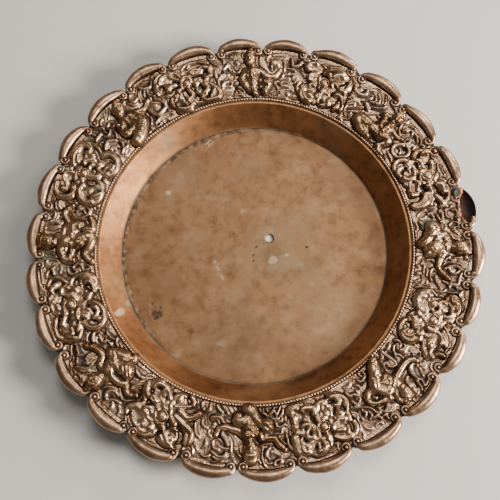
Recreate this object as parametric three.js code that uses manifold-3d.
// Decorative plate: a copper well (disc and conical wall) inside a broad lobed border.
// The border is a chased sheet over a backing sheet, with a scroll moulding on each lobe,
// a beaded wire round the well, and rosettes and small figures fixed on in high relief.
// Units are millimetres, +Z is up, the origin is the middle of the base.
// Angles run clockwise from +Y, as seen from above: x = r sin(a), y = r cos(a).
import * as THREE from "three";
import { mergeVertices } from "three/addons/utils/BufferGeometryUtils.js";
import Module from "manifold-3d";

const wasm = await Module();
wasm.setup();

// ---- driving dimensions ----
const FLOOR_T = 1.2; // thickness of the floor disc
const FLOOR_R = 91.2; // radius of the floor disc, under the wall
const HOLE = { x: 10.3, y: 8.4, r: 2.55 }; // hole in the floor, off centre
const WALL_R0 = 89.6; // inner radius of the wall at the floor
const WALL_R1 = 101.3; // inner radius of the wall at its lip
const LIP_Z = 16.9; // top of the wall's lip
const LIP_R = 107.9; // outer radius of the lip
const SHEET_T = 0.9; // thickness of the sheets
const GAP = 0.3; // solder gap between touching pieces
const BEAD_R = 103.95; // centre radius of the beaded wire
const BEAD_W = 0.9; // radius of the beaded wire
const BORDER_R0 = 105.2; // inner radius of the border sheet
const BACK_R0 = 108.3; // inner radius of the backing sheet
const GROUND_Z0 = LIP_Z + GAP + SHEET_T; // top of the border's ground at its inner edge
const GROUND_SLOPE = 0.029; // the border rises this much for each millimetre outwards
const SCROLL_W = 2.9; // half width of a lobe's moulding at its crest
const SCROLL_H = 4.3; // height of the moulding above the ground
const BAND_R = 124; // middle of the ornament band
const RIVET_R = 1.1; // rivet shank
const RIVET_HOLE_R = 1.45;

// The notches between the lobes as [angle, radius], and the crest radius of the lobe after each.
const NOTCHES = [
  [2.8, 143.0, 149.5], [16.1, 143.2, 150.1], [31.3, 143.1, 148.4], [46.1, 141.4, 146.6], [60.9, 140.2, 146.4],
  [74.2, 141.9, 147.5], [86.9, 142.8, 149.0], [100.6, 143.0, 149.1], [113.5, 143.1, 149.6], [126.8, 143.4, 150.0],
  [140.8, 143.8, 150.1], [155.1, 142.9, 149.8], [169.5, 142.7, 149.3], [184.2, 143.0, 149.3], [198.7, 143.0, 149.2],
  [212.9, 143.3, 148.9], [226.5, 143.0, 149.2], [240.0, 143.0, 149.0], [253.3, 143.8, 149.0], [265.6, 143.6, 148.8],
  [279.3, 143.0, 148.9], [293.3, 142.6, 148.4], [306.6, 141.4, 148.6], [321.0, 142.5, 150.0], [334.9, 143.9, 149.9],
  [349.2, 142.3, 149.3],
];
const BROKEN = 5; // index of the lobe whose moulding and facing have been torn away
const ROSETTES = [23, 68.5, 114.8, 160, 207, 250.8, 293.2, 338];

const rad = (a) => (a * Math.PI) / 180;
const at = (a, r, z) => new THREE.Vector3(r * Math.sin(rad(a)), r * Math.cos(rad(a)), z);
const ground = (r) => GROUND_Z0 + GROUND_SLOPE * (r - BORDER_R0);

// ---- small solid kit ----
const solidOf = (geometry) => {
  const g = geometry.clone();
  g.deleteAttribute("normal");
  g.deleteAttribute("uv");
  const m = mergeVertices(g, 1e-4);
  const make = (triVerts) =>
    new wasm.Manifold(new wasm.Mesh({ numProp: 3, vertProperties: m.attributes.position.array, triVerts }));
  const solid = make(new Uint32Array(m.index.array));
  if (solid.volume() > 0) return solid;
  // the faces pointed inwards, so each is turned round
  return make(new Uint32Array(m.index.array).map((_, i, t) => m.index.array[i - (i % 3) + [0, 2, 1][i % 3]]));
};
const geometryOf = (solid) => {
  const m = solid.getMesh();
  const g = new THREE.BufferGeometry();
  const v = new Float32Array(m.numVert * 3);
  for (let i = 0; i < m.numVert; i++) v.set(m.vertProperties.subarray(i * m.numProp, i * m.numProp + 3), i * 3);
  g.setAttribute("position", new THREE.BufferAttribute(v, 3));
  g.setIndex(new THREE.BufferAttribute(new Uint32Array(m.triVerts), 1));
  return g;
};
const unite = (list) => list.reduce((a, b) => a.add(b));
// The largest body of a solid, without the pockets and crumbs that a union or a cut can leave.
const whole = (solid) => solid.decompose().reduce((a, b) => (b.volume() > a.volume() ? b : a));

// A closed grid of rings: ring[i][j] is point j of ring i, capped at both ends.
function loft(rings) {
  const n = rings[0].length;
  const pos = [];
  const idx = [];
  rings.forEach((ring) => ring.forEach((p) => pos.push(p.x, p.y, p.z)));
  for (let i = 0; i + 1 < rings.length; i++)
    for (let j = 0; j < n; j++) {
      const a = i * n + j, b = i * n + ((j + 1) % n), c = a + n, d = b + n;
      idx.push(a, b, d, a, d, c);
    }
  const cap = (first, flip) => {
    for (let j = 1; j + 1 < n; j++)
      if (flip) idx.push(first, first + j + 1, first + j);
      else idx.push(first, first + j, first + j + 1);
  };
  cap(0, true);
  cap((rings.length - 1) * n, false);
  const g = new THREE.BufferGeometry();
  g.setAttribute("position", new THREE.Float32BufferAttribute(pos, 3));
  g.setIndex(idx);
  return g;
}
// A tapered round bar through the given points. flat scales its height.
function bar(points, radii, sides = 6, flat = 1) {
  const up = new THREE.Vector3(0, 0, 1);
  const rings = points.map((p, i) => {
    const t = points[Math.min(i + 1, points.length - 1)].clone().sub(points[Math.max(i - 1, 0)]).normalize();
    let side = new THREE.Vector3().crossVectors(t, up);
    if (side.lengthSq() < 1e-4) side.set(1, 0, 0);
    side.normalize();
    const lift = new THREE.Vector3().crossVectors(side, t).normalize();
    return Array.from({ length: sides }, (_, j) => {
      const w = (2 * Math.PI * (j + 0.5)) / sides;
      return p.clone().addScaledVector(side, Math.cos(w) * radii[i]).addScaledVector(lift, Math.sin(w) * radii[i] * flat);
    });
  });
  return solidOf(loft(rings));
}
function ball(p, rx, ry, rz, turn = 0, w = 7, h = 5) {
  const g = new THREE.SphereGeometry(1, w, h);
  g.rotateX(Math.PI / 2);
  g.scale(rx, ry, rz);
  g.rotateZ(turn);
  g.translate(p.x, p.y, p.z);
  return solidOf(g);
}
function upright(x, y, r0, r1, z0, z1, sides) {
  const g = new THREE.CylinderGeometry(r1, r0, z1 - z0, sides);
  g.rotateX(Math.PI / 2);
  g.translate(x, y, (z0 + z1) / 2);
  return solidOf(g);
}
const lathe = (profile, segments) => {
  const g = new THREE.LatheGeometry(profile.map(([r, z]) => new THREE.Vector2(r, z)), segments);
  g.rotateX(Math.PI / 2);
  return solidOf(g);
};

// ---- lobed outline ----
const lobes = NOTCHES.map(([a, r, crest], i) => {
  const [b0, s] = NOTCHES[(i + 1) % NOTCHES.length];
  const b = b0 < a ? b0 + 360 : b0;
  return { a, b, r, s, crest };
});
const edgeAt = (lobe, u) => {
  // u runs from 0 to 1 over the lobe
  const v = 2 * u - 1;
  const notch = lobe.r + (lobe.s - lobe.r) * u;
  return notch + (lobe.crest - notch) * (1 - v * v);
};
// A lobed annular sheet whose lower face is drop below the ground.
function lobedSheet(inner, inset, drop, thickness, torn) {
  const STEPS = 6;
  const top = [], bottom = [], topIn = [], bottomIn = [];
  lobes.forEach((lobe, k) => {
    for (let j = 0; j < STEPS; j++) {
      const u = j / STEPS;
      const a = lobe.a + (lobe.b - lobe.a) * u;
      let r = edgeAt(lobe, u) - inset;
      if (torn && k === BROKEN && j > 0) r = [0, 139.6, 138.2, 137.8, 138.4, 140.5][j];
      const z = ground(r) - drop, zi = ground(inner) - drop;
      top.push(at(a, r, z + thickness));
      bottom.push(at(a, r, z));
      topIn.push(at(a, inner, zi + thickness));
      bottomIn.push(at(a, inner, zi));
    }
  });
  const rings = [topIn, top, bottom, bottomIn];
  const n = top.length, pos = [], idx = [];
  rings.forEach((ring) => ring.forEach((p) => pos.push(p.x, p.y, p.z)));
  for (let i = 0; i < 4; i++)
    for (let j = 0; j < n; j++) {
      const a = i * n + j, b = i * n + ((j + 1) % n), c = ((i + 1) % 4) * n + j, d = ((i + 1) % 4) * n + ((j + 1) % n);
      idx.push(a, c, d, a, d, b);
    }
  const g = new THREE.BufferGeometry();
  g.setAttribute("position", new THREE.Float32BufferAttribute(pos, 3));
  g.setIndex(idx);
  return solidOf(g);
}

// ---- materials ----
const metal = (color, roughness) => new THREE.MeshStandardMaterial({ color, roughness, metalness: 1 });
const silvered = metal(0xa08468, 0.38);
const bright = metal(0xb59a7c, 0.32);
const copper = metal(0xa0673c, 0.42);
const dull = metal(0x94714f, 0.62);
const backing = metal(0x4d2a20, 0.6);
const solder = metal(0x8d8578, 0.4);

const plate = new THREE.Group();
const put = (name, geometry, material) => {
  const mesh = new THREE.Mesh(geometry, material);
  mesh.name = name;
  plate.add(mesh);
};
const two = (i) => String(i + 1).padStart(2, "0");

// ---- well ----
{
  const outline = new THREE.Shape();
  outline.absarc(0, 0, FLOOR_R, 0, 2 * Math.PI, false);
  const hole = new THREE.Path();
  hole.absarc(HOLE.x, HOLE.y, HOLE.r, 0, 2 * Math.PI, true);
  const thick = new THREE.ExtrudeGeometry(outline, { depth: FLOOR_T, bevelEnabled: false, curveSegments: 40 });
  const drill = upright(HOLE.x, HOLE.y, HOLE.r, HOLE.r, -1, FLOOR_T + 1, 16);
  put("floor_disc", geometryOf(solidOf(thick).subtract(drill)), dull);
}
put(
  "well_wall",
  geometryOf(
    lathe(
      [[WALL_R0, FLOOR_T + GAP], [WALL_R1, LIP_Z], [LIP_R, LIP_Z], [LIP_R, LIP_Z - SHEET_T], [WALL_R1 + 0.7, LIP_Z - SHEET_T], [FLOOR_R - 0.1, FLOOR_T + GAP], [WALL_R0, FLOOR_T + GAP]],
      72,
    ),
  ),
  copper,
);
{
  const profile = [];
  for (let j = 0; j <= 6; j++) {
    const w = (2 * Math.PI * (j % 6)) / 6;
    profile.push([BEAD_R + BEAD_W * Math.cos(w), LIP_Z + GAP + BEAD_W + BEAD_W * Math.sin(w)]);
  }
  put("bead_wire", geometryOf(lathe(profile, 72)), bright);
}

// ---- border sheets, drilled for the rosettes' rivets ----
const rivetAt = ROSETTES.map((a) => at(a, BAND_R, 0));
const drills = unite(rivetAt.map((p) => upright(p.x, p.y, RIVET_HOLE_R, RIVET_HOLE_R, 5, 40, 8)));
put("border_sheet", geometryOf(lobedSheet(BORDER_R0, 1.2, SHEET_T, SHEET_T, true).subtract(drills)), silvered);
put("back_plate", geometryOf(lobedSheet(BACK_R0, 0.9, 2 * SHEET_T + GAP, SHEET_T, false).subtract(drills)), backing);

// Everything under a plane that lies on the ground at (a, r) is cut away, so each applied piece has a flat back.
const underAt = (a, r) => {
  const g = new THREE.BoxGeometry(70, 70, 20);
  g.translate(0, 0, -10);
  g.rotateX(Math.atan(GROUND_SLOPE));
  g.rotateZ(-rad(a));
  const p = at(a, r, ground(r) + GAP + 0.04);
  g.translate(p.x, p.y, p.z);
  return solidOf(g);
};

// ---- scroll mouldings ----
// more makes one fatter all over: the ornament beside it is cut back by the fat one.
function scroll(lobe, k, more) {
  const span = lobe.b - lobe.a;
  const place = (a, r, lift) => at(a, r, ground(r) + lift);
  const half = (u) => SCROLL_W * (0.72 + 0.28 * Math.sin(Math.PI * u));
  const pts = [], radii = [];
  const dead = k === BROKEN;
  const steps = dead ? [0.9, 0.94] : [0.07, 0.22, 0.4, 0.6, 0.78, 0.93];
  steps.forEach((u) => {
    const h = half(u);
    pts.push(place(lobe.a + span * u, edgeAt(lobe, u) - h, SCROLL_H * 0.42));
    radii.push(h + more);
  });
  const left = place(lobe.a + 1.75, 138.9, 1.7), right = place(lobe.b - 1.75, 138.9, 1.7);
  if (!dead) { pts.unshift(left); radii.unshift(1.7 + more); }
  pts.push(right);
  radii.push(1.7 + more);
  const v = 2.2 + more;
  const solids = [bar(pts, radii, 6, 0.85), ball(right, v, v, v, 0, 6, 4)];
  if (!dead) solids.push(ball(left, v, v, v, 0, 6, 4));
  return unite(solids);
}
lobes.forEach((lobe, k) => {
  put("rim_scroll_" + two(k), geometryOf(whole(scroll(lobe, k, 0).subtract(underAt((lobe.a + lobe.b) / 2, 142)))), silvered);
});
const apart = (a, b) => Math.abs(((a - b + 540) % 360) - 180);
// Cuts the mouldings near angle a, with their gap, out of a piece of ornament.
const clearOfRim = (solid, a) =>
  lobes.reduce((left, lobe, k) => (apart((lobe.a + lobe.b) / 2, a) < 18 ? left.subtract(scroll(lobe, k, GAP)) : left), solid);

// ---- rosettes: four C-scrolls round a boss, on a thin base ----
const QUARTER = [[2.0, 5.0, 1.4], [4.2, 11.5, 1.8], [9.6, 15.2, 2.1], [14.6, 11.6, 2.1], [14.4, 5.6, 1.8], [9.6, 4.6, 1.5]];
ROSETTES.forEach((a, k) => {
  const c = at(a, BAND_R, 0);
  const local = (x, y, lift) => {
    const p = new THREE.Vector3(c.x + x * Math.cos(rad(a)) + y * Math.sin(rad(a)), c.y - x * Math.sin(rad(a)) + y * Math.cos(rad(a)), 0);
    p.z = ground(Math.hypot(p.x, p.y)) + lift;
    return p;
  };
  const solids = [upright(c.x, c.y, 13.5, 12.5, ground(BAND_R) - 1, ground(BAND_R) + 1.6, 14), upright(c.x, c.y, 4.6, 3.4, ground(BAND_R), ground(BAND_R) + 3.2, 8)];
  for (const [sx, sy] of [[1, 1], [-1, 1], [-1, -1], [1, -1]]) {
    solids.push(bar(QUARTER.map(([x, y]) => local(sx * x, sy * y, 1.9)), QUARTER.map((q) => q[2]), 4));
    solids.push(ball(local(sx * 8.8, sy * 9.2, 2.2), 2.9, 2.9, 2.6, 0, 5, 4));
  }
  const drill = upright(c.x, c.y, RIVET_HOLE_R, RIVET_HOLE_R, 5, 40, 8);
  put("rosette_" + two(k), geometryOf(whole(clearOfRim(unite(solids).subtract(underAt(a, BAND_R)).subtract(drill), a))), silvered);
  // its rivet: a domed head, the shank through both sheets, and the closed tail under the backing
  const zTop = ground(BAND_R) + 3.2 + GAP, zTail = ground(BAND_R) - 2 * SHEET_T - 2 * GAP - 0.05;
  const head = new THREE.LatheGeometry(
    [[0, zTail - 1.1], [1.7, zTail - 1.1], [2.2, zTail], [RIVET_R, zTail], [RIVET_R, zTop], [2.6, zTop], [1.8, zTop + 1.7], [0, zTop + 2.2]].map(([r, z]) => new THREE.Vector2(r, z)),
    8,
  );
  head.rotateX(Math.PI / 2);
  head.translate(c.x, c.y, 0);
  let stud = solidOf(head);
  put("rosette_rivet_" + two(k), geometryOf(stud), bright);
});

// ---- figures: [angle, radius, height above the ground] of each joint, heads outwards ----
// head, its size, then chest, belly, hips, and limbs as chains of [a, r, lift, radius]
const FIGURES = [
  { head: [358.7, 135.6, 4.0, 3.2], trunk: [[359.3, 131, 3, 1.7], [359.5, 127, 3.2, 3.4], [359.4, 121.5, 3.2, 3.0], [359.7, 118.3, 3.0, 3.4]],
    limbs: [[[1.2, 127.6, 3.0, 1.7], [5.2, 122.4, 3.2, 1.7], [8.3, 128.6, 2.4, 1.3]], [[357.8, 127.5, 3.0, 1.7], [354.6, 124, 2.8, 1.5], [352.6, 131.4, 2.2, 1.2]],
      [[0.4, 118.2, 3.2, 2.8], [4.5, 117.2, 4.6, 2.8], [3.9, 111.2, 2.4, 1.7]], [[359.4, 118, 3.2, 2.6], [0.0, 113.4, 4.0, 2.1], [0.5, 109.6, 2.2, 1.7]]] },
  { head: [47.6, 133.2, 4.0, 3.3], trunk: [[47.6, 129, 3, 1.8], [47.6, 125.5, 3.4, 3.3], [47.9, 120, 3.2, 3.0], [48.4, 115.6, 3.2, 3.5]],
    limbs: [[[46.2, 126.6, 3.0, 1.7], [43.9, 122.2, 2.8, 1.6], [45.4, 118.2, 2.6, 1.3]], [[49.3, 126, 3.0, 1.7], [51.4, 122, 2.8, 1.5], [54, 124.6, 2.2, 1.2]],
      [[47.2, 116.4, 3.2, 3.0], [40.6, 115.4, 4.4, 3.6], [44.8, 108.8, 2.6, 2.2]], [[49.2, 115.6, 3.0, 2.8], [51.6, 116, 4.6, 2.6], [50.7, 109.6, 2.8, 1.7], [53.3, 107.2, 2.0, 1.4]]] },
  { head: [91.5, 132.3, 4.0, 3.3], trunk: [[91.6, 128.4, 3, 1.8], [90.9, 125.4, 3.4, 3.3], [91.2, 120.6, 3.2, 3.0], [91.8, 116.8, 3.2, 3.6]],
    limbs: [[[93.2, 125.8, 3.0, 1.8], [98, 119.9, 3.0, 1.6], [101.2, 126.2, 2.2, 1.2]], [[89.2, 126, 3.0, 1.7], [87.6, 122.6, 3.2, 1.5], [88.2, 118.8, 3.8, 1.3]],
      [[91.0, 116, 3.2, 2.9], [85.0, 118.4, 4.6, 3.2], [90.3, 108.2, 2.6, 1.9]], [[92.6, 116.4, 3.4, 3.0], [94.0, 113.8, 4.6, 2.9], [95.4, 109.8, 2.2, 1.6]]] },
  { head: [135.8, 132.8, 4.0, 3.3], trunk: [[134.9, 129, 3, 1.8], [134.9, 125.8, 3.4, 3.3], [136.1, 121, 3.2, 3.0], [137.2, 118, 3.2, 3.5]],
    limbs: [[[137, 127, 3.0, 1.8], [144.9, 124, 2.8, 1.5], [142.4, 119.2, 2.4, 1.2]], [[133.3, 126, 3.0, 1.7], [130.6, 122.3, 2.6, 1.5], [127.6, 124.6, 2.2, 1.2]],
      [[138, 119, 3.4, 3.0], [141.3, 117.6, 4.6, 3.3], [136.4, 108.4, 3.0, 2.5]], [[136.2, 117.4, 3.0, 2.6], [133.3, 114.2, 3.8, 2.2], [132.9, 107.4, 2.4, 1.6]]] },
  { head: [181.1, 133.0, 4.0, 3.6], trunk: [[181.6, 128, 3, 1.9], [181.5, 124.4, 3.4, 3.3], [181.4, 119.6, 3.2, 3.0], [181.6, 116.6, 3.2, 3.5]],
    limbs: [[[179.3, 125, 3.0, 1.8], [174.5, 124, 2.8, 1.6], [172, 131.8, 2.2, 1.2]], [[183.4, 124, 3.0, 1.8], [189.2, 118.8, 2.8, 1.6], [190.9, 125.6, 2.2, 1.2]],
      [[180.6, 116.4, 3.2, 2.8], [176.4, 116, 4.6, 2.9], [181, 110.8, 3.0, 1.8]], [[182.6, 116.2, 3.2, 3.0], [185.5, 114.2, 4.6, 3.1], [181.9, 107.8, 2.4, 2.0]]] },
  { head: [228.0, 134.2, 4.0, 3.7], trunk: [[227.8, 129.2, 3, 1.9], [227.9, 125.8, 3.4, 3.4], [228.3, 120.8, 3.2, 3.1], [228.5, 117.4, 3.2, 3.6]],
    limbs: [[[226, 126, 3.0, 1.8], [222.3, 121.8, 3.0, 1.6], [219.4, 125, 2.6, 1.4], [217.2, 122.8, 2.2, 1.2]], [[229.8, 126.8, 3.0, 1.8], [234.4, 121.2, 3.0, 1.6], [238, 126.4, 2.2, 1.2]],
      [[227.4, 117.2, 3.4, 3.0], [224, 116, 4.6, 3.3], [228.2, 110.8, 3.2, 2.2]], [[229.6, 117.4, 3.4, 3.1], [232.2, 114.8, 4.6, 3.2], [227.2, 108.4, 3.4, 2.7], [225.4, 105.9, 2.2, 1.5]]] },
  { head: [271.3, 135.2, 4.0, 3.3], trunk: [[270.9, 130.6, 3, 1.8], [270.9, 126.8, 3.4, 3.3], [271.5, 121.8, 3.2, 3.0], [271.9, 118.6, 3.2, 3.4]],
    limbs: [[[269.2, 127.8, 3.0, 1.8], [265.0, 125, 3.0, 1.7], [266.4, 119.8, 2.4, 1.3]], [[273.2, 126.8, 3.0, 1.8], [277.4, 123.6, 2.8, 1.6], [280, 127.8, 2.4, 1.4], [282.2, 124, 2.0, 1.1]],
      [[271, 118.2, 3.2, 3.0], [270.2, 113.6, 4.6, 3.3], [271.4, 108.4, 2.6, 2.2]], [[272.8, 118.4, 3.2, 2.8], [276.2, 118, 4.2, 2.5], [275.8, 110.8, 2.6, 1.7], [279, 109.2, 2.0, 1.3]]] },
  { head: [316.3, 135.0, 4.0, 3.5], trunk: [[316.5, 130.4, 3, 1.9], [316.6, 126.8, 3.4, 3.4], [317.2, 121.6, 3.2, 3.1], [317.8, 118.6, 3.2, 3.5]],
    limbs: [[[314.8, 127, 3.0, 1.8], [312.4, 122.8, 2.8, 1.6], [315.0, 119.2, 2.6, 1.3]], [[318.7, 127, 3.0, 1.8], [322.2, 124.2, 2.8, 1.6], [325.2, 128.4, 2.2, 1.2]],
      [[319.0, 118, 3.6, 3.3], [314.4, 111.8, 4.6, 3.5], [319, 108.6, 2.4, 1.7]], [[316.6, 118.4, 3.2, 2.7], [312.4, 118.6, 4.0, 2.4], [313.0, 113.6, 2.4, 1.6]]] },
];
FIGURES.forEach((f, k) => {
  const place = ([a, r, lift]) => at(a, r, ground(r) + lift);
  const solids = [bar(f.trunk.map(place), f.trunk.map((q) => q[3]), 5, 0.9)];
  const h = place(f.head);
  solids.push(ball(h, f.head[3], f.head[3] * 1.15, f.head[3], -rad(f.head[0]), 6, 5));
  f.limbs.forEach((limb) => solids.push(bar(limb.map(place), limb.map((q) => q[3]), 4)));
  put("figure_" + two(k), geometryOf(whole(clearOfRim(unite(solids).subtract(underAt(f.head[0], BAND_R)), f.head[0]))), silvered);
});

export default plate;
